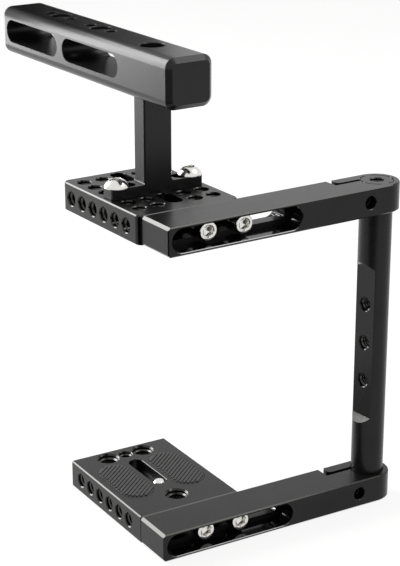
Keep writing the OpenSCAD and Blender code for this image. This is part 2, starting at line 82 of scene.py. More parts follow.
# %% The upper arm's own directions
UP = Vector((0, 0, 1))
along = Vector(joints["top_slide"]["axis"]).normalized()
across = UP.cross(along)
print("upper arm runs along", tuple(round(c, 4) for c in along))

# %% [markdown]
# ## Camera
# The photograph was taken from the free end of the arms, a little above them, with a long lens,
# which keeps the bars nearly parallel. The angles come from fitting a camera to the straight
# edges of arms, plates and post.

# %% Camera
AZIMUTH, ELEVATION = -30.93, 19.41
camera = bpy.data.objects.new("camera", bpy.data.cameras.new("camera"))
bpy.context.scene.collection.objects.link(camera)
camera.location = (-0.439, -0.580, 0.360)
camera.rotation_euler = (radians(90 - ELEVATION), 0, radians(AZIMUTH))
camera.data.lens = 107.6
camera.data.sensor_width = 36
camera.data.clip_start, camera.data.clip_end = 0.05, 20
bpy.context.scene.camera = camera
bpy.context.scene.view_settings.view_transform = "Standard"
print("camera at", tuple(camera.location))

# %% [markdown]
# ## Two helpers for materials
# Colours are written as the sRGB hex values that an eye would name, and a shader wants them
# linear, so one function converts them. The other adds a node to a tree, sets its properties,
# and feeds its inputs with values or with the outputs of other nodes.

# %% Helpers for materials
def colour(hex_value):
    """Linear colour of an sRGB hex value such as "2a2b2d"."""
    parts = [int(hex_value[i : i + 2], 16) / 255 for i in (0, 2, 4)]
    return [c / 12.92 if c <= 0.04045 else ((c + 0.055) / 1.055) ** 2.4 for c in parts] + [1.0]


def add(tree, kind, inputs=None, **settings):
    """Adds a node; inputs maps a socket's name or number to a value or to another node's socket."""
    node = tree.nodes.new(kind)
    for name, value in settings.items():
        setattr(node, name, value)
    for key, value in (inputs or {}).items():
        if isinstance(value, bpy.types.NodeSocket):
            tree.links.new(value, node.inputs[key])
        else:
            node.inputs[key].default_value = value
    return node


def material(name, viewport_hex):
    """An empty node material with its output, and the tree to fill."""
    made = bpy.data.materials.new(name)
    made.use_nodes = True
    made.node_tree.nodes.clear()
    made.diffuse_color = colour(viewport_hex)
    return made, made.node_tree


print("black as linear:", [round(c, 4) for c in colour("2a2b2d")[:3]])

# %% [markdown]
# ## Floor and light
# A white studio: the floor and the world are white where the camera or a reflection looks at
# them, and stay dimmer for the light that they give, so the black parts aren't washed out. A
# Light Path node tells the two apart.

# %% World
def looked_at(tree):
    """1 where the camera or a reflection looks, and 0 for the light that is given."""
    rays = add(tree, "ShaderNodeLightPath").outputs
    seen = add(tree, "ShaderNodeMath", {0: rays["Is Camera Ray"], 1: rays["Is Glossy Ray"]})
    seen = add(tree, "ShaderNodeMath", {0: seen.outputs[0], 1: rays["Is Transmission Ray"]},
               use_clamp=True)
    return seen.outputs[0]


world = bpy.data.worlds.new("white_studio")
bpy.context.scene.world = world
world.use_nodes = True
tree = world.node_tree
tree.nodes.clear()
fill = add(tree, "ShaderNodeBackground", {"Color": colour("f4f4f4"), "Strength": 0.55})
white = add(tree, "ShaderNodeBackground", {"Color": colour("ffffff"), "Strength": 1.0})
mixed = add(tree, "ShaderNodeMixShader",
            {0: looked_at(tree), 1: fill.outputs[0], 2: white.outputs[0]})
add(tree, "ShaderNodeOutputWorld", {"Surface": mixed.outputs[0]})
print("world nodes:", len(tree.nodes))

# %% [markdown]
# The floor is a big white sheet, mixed from a glowing and a matt part, because the matt part
# keeps the soft shadow. It is clear from below, so that the underside can be looked at.

# %% Floor
floor_paint, tree = material("white_studio_floor", "f4f4f2")
glow = add(tree, "ShaderNodeMath", {0: looked_at(tree), 1: 0.8}, operation="MULTIPLY")
matt = add(tree, "ShaderNodeBsdfDiffuse", {"Color": colour("f4f4f2")})
white = add(tree, "ShaderNodeEmission", {"Color": colour("ffffff"), "Strength": 1.05})
mixed = add(tree, "ShaderNodeMixShader",
            {0: glow.outputs[0], 1: matt.outputs[0], 2: white.outputs[0]})
below = add(tree, "ShaderNodeNewGeometry")
clear = add(tree, "ShaderNodeBsdfTransparent")
onesided = add(tree, "ShaderNodeMixShader",
               {0: below.outputs["Backfacing"], 1: mixed.outputs[0], 2: clear.outputs[0]})
add(tree, "ShaderNodeOutputMaterial", {"Surface": onesided.outputs[0]})
mesh = bpy.data.meshes.new("floor")
reach, drop = 6.0, -0.2 * MM
corners = [(x * reach, y * reach, drop) for x, y in ((-1, -1), (1, -1), (1, 1), (-1, 1))]
mesh.from_pydata(corners, [], [(0, 1, 2, 3)])
mesh.materials.append(floor_paint)
floor = bpy.data.objects.new("floor", mesh)
bpy.context.scene.collection.objects.link(floor)
print("floor is", 2 * reach, "m wide")

# %% [markdown]
# A tall softbox stands behind on the left: the sides of the object mirror its foot, and the
# upper edges mirror its middle. A second one overhead draws the edges that face the camera.

# %% Lamps
centre = (cad_box[0] + cad_box[1]) / 2


def softbox(name, place, width, height, watts):
    """A rectangular area lamp that faces the object."""
    lamp = bpy.data.lights.new(name, "AREA")
    lamp.shape, lamp.size, lamp.size_y, lamp.energy = "RECTANGLE", width, height, watts
    stand = bpy.data.objects.new(name, lamp)
    stand.location = place
    stand.rotation_euler = (centre - Vector(place)).to_track_quat("-Z", "Y").to_euler()
    bpy.context.scene.collection.objects.link(stand)
    print(name, "gives", watts, "W")


softbox("left_softbox", (-0.48, 0.92, 0.44), 0.55, 0.9, 19.0)
softbox("overhead_softbox", (0.53, -0.33, 1.08), 0.6, 0.5, 3.6)

# %% [markdown]
# ## Black cards
# On a black object an edge shows only where two neighbouring faces reflect different things.
# A photographer therefore lays black cards just outside the picture. One lies on the floor in
# front, and turns the upright edges that face the camera black. One hangs behind, and keeps the
# handle's top darker than the arms. Only reflections see them, so they cast no shadow.

# %% Black cards
card_paint, tree = material("black_card", "050505")
add(tree, "ShaderNodeOutputMaterial",
    {"Surface": add(tree, "ShaderNodeBsdfDiffuse", {"Color": colour("050505")}).outputs[0]})


def card(name, corners):
    """A flat black card that only reflections see."""
    mesh = bpy.data.meshes.new(name)
    mesh.from_pydata(corners, [], [(0, 1, 2, 3)])
    mesh.materials.append(card_paint)
    made = bpy.data.objects.new(name, mesh)
    made.visible_camera = made.visible_diffuse = made.visible_shadow = False
    bpy.context.scene.collection.objects.link(made)
    print(name, "hangs at", corners[0])


low, behind = 0.001, 0.2
card("front_card", [(-1.3, -1.0, low), (-0.15, -1.0, low), (-0.15, -0.12, low), (-1.3, 0.1, low)])
card("back_card", [(-0.16, behind, 0.2), (0.0, behind, 0.235), (0.02, behind, 0.3),
                   (-0.16, behind, 0.3)])

# %% [markdown]
# ## Broken edges
# Chamfers and countersinks are cut after blasting, so they are smoother and a little paler than
# the faces. They lean at 45 degrees to an axis, which the normal tells, so a mask finds them and
# the solids need no second material.

# %% A mask for chamfers
def edge_mask(tree, normal, axes):
    """1 on faces that lean at about 45 degrees to one of the chosen axes."""
    facing = add(tree, "ShaderNodeVectorMath", {0: normal, 1: axes}, operation="MULTIPLY")
    facing = add(tree, "ShaderNodeVectorMath", {0: facing.outputs[0]}, operation="ABSOLUTE")
    lean = add(tree, "ShaderNodeSeparateXYZ", {0: facing.outputs[0]}).outputs
    most = add(tree, "ShaderNodeMath", {0: lean["X"], 1: lean["Y"]}, operation="MAXIMUM")
    most = add(tree, "ShaderNodeMath", {0: most.outputs[0], 1: lean["Z"]}, operation="MAXIMUM")
    # the sine of 45 degrees, give or take
    near = add(tree, "ShaderNodeMath", {0: most.outputs[0], 1: 0.707, 2: 0.12}, operation="COMPARE")
    return near.outputs[0]


print("a chamfer's normal has a part of", round(sin(pi / 4), 3), "along its axis")

# %% [markdown]
# ## Polished recesses
# An end mill cut the long recess in each arm's front after blasting, so its walls are smooth
# and mirror the screw heads, and its mouth was broken last and is the palest edge of all. The
# distance from the slot's middle line, in the arm's own directions, tells walls and mouth.

# %% Masks for a recess
MOUTH = 0.5 * MM


def recess_masks(tree, place, recess):
    """1 inside the recess, and 1 inside it and on its mouth."""
    middle, turn, half, radius, deep = recess
    local = add(tree, "ShaderNodeMapping", {0: place, 1: middle, 2: (0, 0, turn)},
                vector_type="TEXTURE")
    part = add(tree, "ShaderNodeSeparateXYZ", {0: local.outputs[0]}).outputs
    past = add(tree, "ShaderNodeMath", {0: part["X"]}, operation="ABSOLUTE")
    past = add(tree, "ShaderNodeMath", {0: past.outputs[0], 1: half}, operation="SUBTRACT")
    past = add(tree, "ShaderNodeMath", {0: past.outputs[0], 1: 0.0}, operation="MAXIMUM")
    spot = add(tree, "ShaderNodeCombineXYZ", {"X": past.outputs[0], "Z": part["Z"]})
    gap = add(tree, "ShaderNodeVectorMath", {0: spot.outputs[0]}, operation="LENGTH").outputs["Value"]
    inside = add(tree, "ShaderNodeMath", {0: gap, 1: radius}, operation="LESS_THAN")
    sunk = add(tree, "ShaderNodeMath", {0: part["Y"]}, operation="ABSOLUTE")
    sunk = add(tree, "ShaderNodeMath", {0: sunk.outputs[0], 1: deep}, operation="LESS_THAN")
    walls = add(tree, "ShaderNodeMath", {0: inside.outputs[0], 1: sunk.outputs[0]},
                operation="MULTIPLY")
    mouth = add(tree, "ShaderNodeMath", {0: gap, 1: radius + MOUTH}, operation="LESS_THAN")
    return walls.outputs[0], mouth.outputs[0]


print("a recess's mouth is", round(MOUTH / MM, 1), "mm wide")

# %% [markdown]
# ## Black anodised aluminium
# The bars, plates, post and handle are milled, bead-blasted and dyed black in the oxide layer.
# Blasting leaves a grain of about a tenth of a millimetre that spreads reflections, so the
# finish is satin: dark where it is seen squarely, grey where it is seen at a low angle. The
# clear oxide over the metal is a mix of both, so metallic is 0.8 on a nearly black base. A fine
# bump makes the grain, drawn at 0.3 mm so that it shows, and the tone changes slowly, because
# no anodised batch is quite even.

# %% Black anodised aluminium
def black_anodise(name, roughness=0.3, shades=("1f1f1f", "292929"), metallic=0.8, turned=False,
                  edges=(0, 0, 1), recess=None):
    """Blasted black anodised aluminium; turned adds a lathe's rings, edges names the axes that
    its chamfers lean to, and recess is a polished slot with its edges."""
    made, tree = material(name, "2a2a2a")
    coordinates = add(tree, "ShaderNodeTexCoord").outputs
    place = coordinates["Object"]
    tone = add(tree, "ShaderNodeTexNoise", {"Vector": place, "Scale": 1 / (22 * MM), "Detail": 3.0})
    base = add(tree, "ShaderNodeMix",
               {0: tone.outputs["Fac"], 6: colour(shades[0]), 7: colour(shades[1])},
               data_type="RGBA").outputs[2]
    grain = add(tree, "ShaderNodeTexNoise", {"Vector": place, "Scale": 1 / (0.3 * MM), "Detail": 2.0})
    height, metal = grain.outputs["Fac"], metallic
    rough = add(tree, "ShaderNodeMapRange",
                {0: height, 1: 0.3, 2: 0.7, 3: roughness - 0.04, 4: roughness + 0.05}).outputs[0]
    if turned:
        rings = add(tree, "ShaderNodeTexWave",
                    {"Vector": place, "Scale": 1 / (6.3 * MM), "Distortion": 0.4},
                    wave_type="BANDS", bands_direction="Z")
        height = add(tree, "ShaderNodeMath", {0: rings.outputs["Fac"], 1: height}).outputs[0]
    bump = add(tree, "ShaderNodeBump", {"Strength": 0.18, "Distance": 0.01 * MM, "Height": height})
    if edges:
        edge, cut = edge_mask(tree, coordinates["Normal"], edges), colour("363635")
        if recess:
            walls, mouth = recess_masks(tree, place, recess)
            rough = add(tree, "ShaderNodeMix", {0: walls, 2: rough, 3: 0.1}).outputs[0]
            edge = add(tree, "ShaderNodeMath", {0: edge, 1: walls}, operation="SUBTRACT",
                       use_clamp=True).outputs[0]
            mouth = add(tree, "ShaderNodeMath", {0: mouth, 1: edge}, operation="MULTIPLY").outputs[0]
            cut = add(tree, "ShaderNodeMix", {0: mouth, 6: cut, 7: colour("606060")},
                      data_type="RGBA").outputs[2]
        base = add(tree, "ShaderNodeMix", {0: edge, 6: base, 7: cut}, data_type="RGBA").outputs[2]
        rough = add(tree, "ShaderNodeMix", {0: edge, 2: rough, 3: 0.16}).outputs[0]
        metal = add(tree, "ShaderNodeMix", {0: edge, 2: metal, 3: 1.0}).outputs[0]
    skin = add(tree, "ShaderNodeBsdfPrincipled",
               {"Base Color": base, "Roughness": rough, "Normal": bump.outputs[0], "Metallic": metal})
    add(tree, "ShaderNodeOutputMaterial", {"Surface": skin.outputs[0]})
    return made


blasted = black_anodise("bead_blasted_black_anodised_aluminium", edges=(1, 1, 1))
handle_skin = black_anodise("handle_black_anodised_aluminium", shades=("222222", "2c2c2c"),
                            metallic=0.7, edges=None)
turned_bar = black_anodise("turned_black_anodised_aluminium", turned=True)
thread_skin = black_anodise("cut_black_anodised_threads", roughness=0.22,
                            shades=("3c3c3b", "4a4a49"), edges=None)
print("made", blasted.name, "and", turned_bar.name)

# %% [markdown]
# ## The arms' finish
# Each arm gets the blasted finish with a polished recess. The recess's place is written once, in
# the lower arm's directions, and the upper arm's is the same one turned about the post.

# %% Arm materials with a polished recess
RECESS_X, RECESS_Y = -81.1 * MM, -5.25 * MM
# half the recess's straight length, its radius, and how far the polish goes each way from its
# middle, a little short of the front face and of the floor
RECESS = (27.7 * MM, 5.23 * MM, 4.9 * MM)
turn = atan2(along.y, along.x)


def half_way_up(node):
    """The height of a node's middle, as a vector."""
    return UP * sum(corner.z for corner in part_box(node)) / 2


lower_spot = Vector((RECESS_X, RECESS_Y, 0)) + half_way_up("lower_arm")
upper_spot = along * RECESS_X + across * RECESS_Y + half_way_up("upper_arm")
arm_skins = {
    arm: black_anodise(f"{arm}_black_anodised_aluminium", recess=(spot, lean, *RECESS))
    for arm, spot, lean in (("lower_arm", lower_spot, 0.0), ("upper_arm", upper_spot, turn))
}
print("upper arm is turned by", round(degrees(turn), 2), "degrees")

# %% [markdown]
# ## Steel
# The plate screws, the dome screws and the camera screw are bright stainless steel, turned and
# tumbled, so they mirror the white studio and the black bars round them.

# %% Stainless steel
stainless, tree = material("tumbled_stainless_steel", "dedddb")
place = add(tree, "ShaderNodeTexCoord").outputs["Object"]
smear = add(tree, "ShaderNodeTexNoise", {"Vector": place, "Scale": 1 / (1.5 * MM), "Detail": 4.0})
rough = add(tree, "ShaderNodeMapRange", {0: smear.outputs["Fac"], 1: 0.3, 2: 0.7, 3: 0.12, 4: 0.22})
tint = add(tree, "ShaderNodeMix", {0: smear.outputs["Fac"], 6: colour("d6d5d1"), 7: colour("e6e5e1")},
           data_type="RGBA")
bump = add(tree, "ShaderNodeBump",
           {"Strength": 0.1, "Distance": 0.01 * MM, "Height": smear.outputs["Fac"]})
skin = add(tree, "ShaderNodeBsdfPrincipled",
           {"Base Color": tint.outputs[2], "Roughness": rough.outputs[0], "Normal": bump.outputs[0],
            "Metallic": 1.0})
add(tree, "ShaderNodeOutputMaterial", {"Surface": skin.outputs[0]})
print("made", stainless.name)

# %% [markdown]
# The clamp screws and the grip's bolt are black oxide, a dull dark steel with a cloudy sheen.

# %% Black oxide steel
black_oxide, tree = material("black_oxide_steel", "1d1e20")
place = add(tree, "ShaderNodeTexCoord").outputs["Object"]
cloud = add(tree, "ShaderNodeTexNoise", {"Vector": place, "Scale": 1 / (2 * MM), "Detail": 4.0})
tint = add(tree, "ShaderNodeMix", {0: cloud.outputs["Fac"], 6: colour("1a1b1d"), 7: colour("2b2a29")},
           data_type="RGBA")
rough = add(tree, "ShaderNodeMapRange", {0: cloud.outputs["Fac"], 1: 0.3, 2: 0.7, 3: 0.28, 4: 0.42})
skin = add(tree, "ShaderNodeBsdfPrincipled",
           {"Base Color": tint.outputs[2], "Roughness": rough.outputs[0], "Metallic": 1.0})
add(tree, "ShaderNodeOutputMaterial", {"Surface": skin.outputs[0]})
print("made", black_oxide.name)

# %% [markdown]
# ## Rubber
# The camera stands on moulded rubber, which isn't metal: its pores spread the light, and a bit
# of dust makes it greyer in places.

# %% Moulded rubber
rubber, tree = material("moulded_black_rubber", "232323")
place = add(tree, "ShaderNodeTexCoord").outputs["Object"]
dust = add(tree, "ShaderNodeTexNoise", {"Vector": place, "Scale": 1 / (4 * MM), "Detail": 5.0})
tint = add(tree, "ShaderNodeMix", {0: dust.outputs["Fac"], 6: colour("1f1f1f"), 7: colour("2d2d2c")},
           data_type="RGBA")
pore = add(tree, "ShaderNodeTexNoise", {"Vector": place, "Scale": 1 / (0.25 * MM), "Detail": 2.0})
rough = add(tree, "ShaderNodeMapRange", {0: pore.outputs["Fac"], 1: 0.3, 2: 0.7, 3: 0.5, 4: 0.7})
bump = add(tree, "ShaderNodeBump",
           {"Strength": 0.4, "Distance": 0.02 * MM, "Height": pore.outputs["Fac"]})
skin = add(tree, "ShaderNodeBsdfPrincipled",
           {"Base Color": tint.outputs[2], "Roughness": rough.outputs[0], "Normal": bump.outputs[0],
            "IOR": 1.52})
add(tree, "ShaderNodeOutputMaterial", {"Surface": skin.outputs[0]})
print("made", rubber.name)

# %% [markdown]
# ## Dressing the solids
# The bars, plates, post, handle and washer are shown as the CAD model has them, each with the
# finish of its real piece. Screws and pads get finer pieces further down.

# %% Finishes on the solids that stay
finishes = {"base_plate": blasted, "top_plate": blasted, "handle_bracket": handle_skin,
            "handle_grip": handle_skin, "post": turned_bar, "camera_screw_washer": stainless,
            **arm_skins}
for name, finish in finishes.items():
    nodes[name].data.materials.clear()
    nodes[name].data.materials.append(finish)
print("solids kept:", ", ".join(sorted(finishes)))

# %% [markdown]
# ## Threads
# A tapped hole catches the light on the turns of its thread, which is most of what the eye
# sees in the rows of holes. A thread is a helix swept by a small trapezoid, so it suits
# Geometry Nodes: one tree makes one thread and copies it to every hole in a list of points,
# each turned to its hole's direction. The profile points inwards in a hole and outwards on a
# screw, and at both ends the helix slips into the wall, as a cut thread runs out.

# %% A tree that makes threads
def thread_tree():
    """The node tree that puts one thread on each point of its input."""
    tree = bpy.data.node_groups.new("cut_threads", "GeometryNodeTree")
    face = tree.interface
    face.new_socket("Geometry", in_out="INPUT", socket_type="NodeSocketGeometry")
    for name in ("Wall Radius", "Pitch", "Depth", "Length", "Side"):
        face.new_socket(name, in_out="INPUT", socket_type="NodeSocketFloat")
    face.new_socket("Finish", in_out="INPUT", socket_type="NodeSocketMaterial")
    face.new_socket("Geometry", in_out="OUTPUT", socket_type="NodeSocketGeometry")
    given = add(tree, "NodeGroupInput").outputs
    # the helix, with its middle line half a thread's depth away from the wall
    turns = add(tree, "ShaderNodeMath", {0: given["Length"], 1: given["Pitch"]},
                operation="DIVIDE").outputs[0]
    signed = add(tree, "ShaderNodeMath", {0: given["Depth"], 1: given["Side"]},
                 operation="MULTIPLY").outputs[0]
    half = add(tree, "ShaderNodeMath", {0: signed, 1: -0.46}, operation="MULTIPLY").outputs[0]
    radius = add(tree, "ShaderNodeMath", {0: given["Wall Radius"], 1: half}).outputs[0]
    helix = add(tree, "GeometryNodeCurveSpiral",
                {"Resolution": 20, "Rotations": turns, "Start Radius": radius, "End Radius": radius,
                 "Height": given["Length"]})
    # near both ends the turns slip into the wall
    share = add(tree, "GeometryNodeSplineParameter").outputs["Factor"]
    other = add(tree, "ShaderNodeMath", {0: 1.0, 1: share}, operation="SUBTRACT").outputs[0]
    near = add(tree, "ShaderNodeMath", {0: share, 1: other}, operation="MINIMUM").outputs[0]
    near = add(tree, "ShaderNodeMath", {0: near, 1: turns}, operation="MULTIPLY").outputs[0]
    slip = add(tree, "ShaderNodeMapRange", {0: near, 1: 0.0, 2: 0.5, 3: 1.0, 4: 0.0}).outputs[0]
    slip = add(tree, "ShaderNodeMath", {0: slip, 1: signed}, operation="MULTIPLY").outputs[0]
    spot = add(tree, "GeometryNodeInputPosition").outputs[0]
    flat = add(tree, "ShaderNodeVectorMath", {0: spot, 1: (1, 1, 0)}, operation="MULTIPLY").outputs[0]
    out = add(tree, "ShaderNodeVectorMath", {0: flat}, operation="NORMALIZE").outputs[0]
    move = add(tree, "ShaderNodeVectorMath", {0: out, "Scale": slip}, operation="SCALE").outputs[0]
    helix = add(tree, "GeometryNodeSetPosition", {"Geometry": helix.outputs[0], "Offset": move})
    helix = add(tree, "GeometryNodeSetCurveNormal", {0: helix.outputs[0]}, mode="Z_UP")
    # the profile, narrow at the crest, turned towards the hole's middle or away from it
    wide = add(tree, "ShaderNodeMath", {0: given["Pitch"], 1: 0.86}, operation="MULTIPLY").outputs[0]
    crest = add(tree, "ShaderNodeMath", {0: given["Pitch"], 1: 0.16}, operation="MULTIPLY").outputs[0]
    shape = add(tree, "GeometryNodeCurvePrimitiveQuadrilateral",
                {"Height": given["Depth"], "Bottom Width": wide, "Top Width": crest, "Offset": 0.0},
                mode="TRAPEZOID")
    quarter = add(tree, "ShaderNodeMath", {0: given["Side"], 1: -pi / 2},
                  operation="MULTIPLY").outputs[0]
    spin = add(tree, "ShaderNodeCombineXYZ", {"Z": quarter}).outputs[0]
    shape = add(tree, "GeometryNodeTransform", {"Geometry": shape.outputs[0], "Rotation": spin})
    thread = add(tree, "GeometryNodeCurveToMesh",
                 {"Curve": helix.outputs[0], "Profile Curve": shape.outputs[0], "Fill Caps": True})
    # one copy on each point, turned to the direction that the point carries
    inward = add(tree, "GeometryNodeInputNamedAttribute", {"Name": "direction"},
                 data_type="FLOAT_VECTOR")
    face_in = add(tree, "FunctionNodeAlignRotationToVector", {"Vector": inward.outputs[0]}, axis="Z")
    copies = add(tree, "GeometryNodeInstanceOnPoints",
                 {"Points": given["Geometry"], "Instance": thread.outputs[0],
                  "Rotation": face_in.outputs[0]})
    real = add(tree, "GeometryNodeRealizeInstances", {0: copies.outputs[0]})
    painted = add(tree, "GeometryNodeSetMaterial",
                  {"Geometry": real.outputs[0], "Material": given["Finish"]})
    add(tree, "NodeGroupOutput", {0: painted.outputs[0]})
    return tree


threads = thread_tree()
print("thread tree has", len(threads.nodes), "nodes")

# %% [markdown]
# ## Running a tree
# A modifier needs an object to sit on, so a throwaway mesh of points carries it, with the
# direction or length of each copy as an attribute. The evaluated result becomes a plain mesh,
# and the throwaway is deleted. Several such meshes that move together are then joined.

# %% Helpers for pieces
def grown(tree, points, values, **attributes):
    """Runs a node tree on a few points and returns the mesh that it makes."""
    mesh = bpy.data.meshes.new("points")
    mesh.from_pydata(points, [], [])
    for name, data in attributes.items():
        if isinstance(data[0], Vector):
            layer = mesh.attributes.new(name, "FLOAT_VECTOR", "POINT")
            layer.data.foreach_set("vector", [c for vector in data for c in vector])
        else:
            layer = mesh.attributes.new(name, "FLOAT", "POINT")
            layer.data.foreach_set("value", data)
    holder = bpy.data.objects.new("holder", mesh)
    bpy.context.scene.collection.objects.link(holder)
    modifier = holder.modifiers.new("grow", "NODES")
    modifier.node_group = tree
    for item in tree.interface.items_tree:
        if item.name in values:
            modifier[item.identifier] = values[item.name]
    graph = bpy.context.evaluated_depsgraph_get()
    result = bpy.data.meshes.new_from_object(holder.evaluated_get(graph))
    bpy.data.objects.remove(holder)
    return result


def piece(name, meshes, body, finish, stands_for=()):
    """Joins meshes into one piece that rides on a body."""
    joined = bmesh.new()
    for mesh in meshes:
        joined.from_mesh(mesh)
    bmesh.ops.recalc_face_normals(joined, faces=joined.faces)
    mesh = bpy.data.meshes.new(name)
    joined.to_mesh(mesh)
    joined.free()
    mesh.materials.clear()
    mesh.materials.append(finish)
    mesh.shade_smooth()
    mesh.set_sharp_from_angle(angle=radians(32))
    made = bpy.data.objects.new(name, mesh)
    bpy.context.scene.collection.objects.link(made)
    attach(made, body)
    if stands_for:
        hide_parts(*stands_for)
    print(name, "has", sum(len(p.vertices) - 2 for p in mesh.polygons), "triangles")
    return made


def thread_size(radius, pitch, depth, side):
    """A thread's measures in mm; side is 1 in a hole and -1 on a screw."""
    return {"Wall Radius": radius * MM, "Pitch": pitch * MM, "Depth": depth * MM, "Side": side}


# the quarter-inch thread with 20 turns to the inch, and the three-eighths one with 16
SMALL = thread_size(3.175, 1.27, 0.69, 1.0)
LARGE = thread_size(4.7625, 1.5875, 0.86, 1.0)


def cut_thread(size, mouths, direction, start, length, finish):
    """Threads from start to start + length in mm, measured from each mouth along direction."""
    foot = 0.43 * size["Pitch"]  # half the profile's width
    points = [Vector(mouth) + direction * (start * MM + foot) for mouth in mouths]
    return grown(threads, points, {**size, "Length": length * MM - 2 * foot, "Finish": finish},
                 direction=[direction] * len(points))


def tapped(size, mouths, direction, start, length):
    """Threads in holes: mouths are points on the face, direction leads into the metal."""
    return cut_thread(size, mouths, direction, start, length, thread_skin)


# %% [markdown]
# ## Threads in the base plate
# Its side has a row of six small holes, and its top one large hole in front and two large ones
# and a small one at the rear. The places come from the record's mounts, which the solids obey.

# %% Base plate's threads
GAP = 9.3 * MM
ROW = range(6)
side = Vector(mounts["base_side_front_pair"]["pos_m"])
side_row = [side + Vector((0, (i - 0.5) * GAP, 0)) for i in ROW]
rear = Vector(mounts["base_rear_large_pair"]["pos_m"])
front = Vector(mounts["base_front_large_hole"]["pos_m"])
rear.z = front.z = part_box("base_plate")[1].z
base_large = [front, rear - Vector((GAP, 0, 0)), rear + Vector((GAP, 0, 0))]
piece("base_plate_threads", [
    tapped(SMALL, side_row, Vector((1, 0, 0)), 0.4, 8.4),
    tapped(LARGE, base_large, -UP, 0.7, 11.6),
    tapped(SMALL, [rear], -UP, 0.4, 12.2),
], "base", thread_skin)

# %% [markdown]
# ## Threads in the top plate
# Four columns of six holes go right through it, and six more come from the side. The side
# holes cross the outer left column, so there each keeps only its clear stretches. The two grid
# holes that hold the handle's screws are left plain.

# %% Top plate's threads
HANDLE_ROW = 2
corner = Vector(mounts["top_grid_left_front"]["pos_m"])


def grid(column, row):
    """A hole's mouth on the top plate; columns count from the middle, rows from the arm."""
    return corner + along * (column + 1.5) * GAP + across * (row - 0.5) * GAP


free = [row for row in ROW if row != HANDLE_ROW]
through = [grid(column, row) for column in (-1, 1) for row in ROW] + [grid(2, row) for row in free]
crossed = [grid(-2, row) for row in free]
thick = 13 * MM
side = Vector(mounts["top_side_front_pair"]["pos_m"])
side_row = [side + across * (i - 0.5) * GAP for i in ROW]
piece("top_plate_threads", [
    tapped(SMALL, through, -UP, 0.4, 12.2),
    tapped(SMALL, crossed, -UP, 0.4, 2.9),
    tapped(SMALL, [p - UP * thick for p in crossed], UP, 0.4, 2.9),
    tapped(SMALL, side_row, along, 0.4, 2.7),
], "top", thread_skin)

# %% [markdown]
# ## Threads in the post and the grip
# The post has three small holes in its flat and one in each end. The grip has two large holes
# for accessories, between pairs of plain locating holes.

# %% Post's and grip's threads
high, low = (mounts[f"post_flat_{name}_pair"] for name in ("upper", "lower"))
step = high["dims"]["pcd_mm"] / 2 * MM
into_flat = -Vector(high["axis"]).normalized()
flat_holes = [Vector(high["pos_m"]) + UP * step, Vector(high["pos_m"]) - UP * step,
              Vector(low["pos_m"]) - UP * step]
post_top = Vector(mounts["post_upper_end"]["pos_m"])
post_foot = Vector((0, 0, 0))
piece("post_threads", [
    tapped(SMALL, flat_holes, into_flat, 0.4, 8.4),
    tapped(SMALL, [post_top], -UP, 0.4, 13.2),
    tapped(SMALL, [post_foot], UP, 0.4, 13.2),
], "post", thread_skin)
pair = mounts["grip_large_pair"]
step = pair["dims"]["pcd_mm"] / 2 * MM
grip_holes = [Vector(pair["pos_m"]) + across * s * step for s in (-1, 1)]
piece("grip_threads", [tapped(LARGE, grip_holes, -UP, 0.3, 4.4)], "top",
      thread_skin)

# %% [markdown]
# ## Screws
# A screw is turned, so its skin is a stack of loops round one axis. A hexagon socket is broached
# into it: there the loops change from round to six-sided, which keeps head, rim and socket in
# one closed skin with true bevels. Each is placed by its CAD node: the middle of the node's tip,
# and its length.

# %% Turned skins with hexagon sockets
AROUND = 72
MOUTH_RIM = 0.15


def turned(loops):
    """A closed skin through loops of (radius, height, six-sided) in mm; the ends close in a fan."""
    skin = bmesh.new()
    rings = []
    for radius, height, six in loops:
        ring = []
        for i in range(AROUND):
            angle = 2 * pi * i / AROUND
            reach = radius / cos((angle + pi / 6) % (pi / 3) - pi / 6) if six else radius
            spot = Vector((reach * cos(angle), reach * sin(angle), height))
            ring.append(skin.verts.new(spot * MM))
        rings.append(ring)
    for lower, upper in zip(rings, rings[1:]):
        for i in range(AROUND):
            j = (i + 1) % AROUND
            skin.faces.new((lower[i], lower[j], upper[j], upper[i]))
    for ring, height in ((rings[0], loops[0][1]), (rings[-1], loops[-1][1])):
        pole = skin.verts.new((0, 0, height * MM))
        for i in range(AROUND):
            skin.faces.new((ring[i], ring[(i + 1) % AROUND], pole))
    mesh = bpy.data.meshes.new("turned")
    skin.to_mesh(mesh)
    skin.free()
    return mesh


def rounded(radius, top, edge, steps=4):
    """Loops over a head's rounded rim."""
    return [(radius - edge + edge * cos(a), top - edge + edge * sin(a), False)
            for a in (pi / 2 * k / steps for k in range(steps + 1))]


def socket(flats, top, depth):
    """Loops into a hexagon socket: a countersunk mouth, six walls and a drilled cone."""
    half, floor = flats / 2, top - depth
    corners = half / cos(pi / 6)
    return [(corners + MOUTH_RIM, top, False), (corners - 0.02, top - MOUTH_RIM, False),
            (half, top - 0.28, True), (half, floor, True), (0.2, floor - 0.5 * half, False)]


def screw_line(node, outward):
    """The middle of a screw's tip in metres and its length in mm, measured on the CAD node."""
    points = {tuple(round(c, 7) for c in v.co) for v in nodes[node].data.vertices}
    reach = {p: Vector(p).dot(outward) for p in points}
    low, high = min(reach.values()), max(reach.values())
    tip = [Vector(p) for p in points if reach[p] < low + 1e-6]
    return sum(tip, Vector()) / len(tip), (high - low) / MM


def placed(mesh, origin, outward):
    """Puts a mesh that was made upright onto a screw's line."""
    turn = UP.rotation_difference(outward).to_matrix().to_4x4()
    mesh.transform(Matrix.Translation(origin) @ turn)
    return mesh


print("hexagon corners reach", round(1 / cos(pi / 6), 3), "times half the flats")

# %% [markdown]
# ## Cap screws
# A cap screw's head is as high as its thread is wide. The plate screws hold the plates to the
# arms, the clamp screws close the clamps, and a bolt with a plain shank holds the grip.

# %% Plate screws and clamp screws
CLEARANCE = 0.06  # how much thinner each thread is cut than its nominal radius


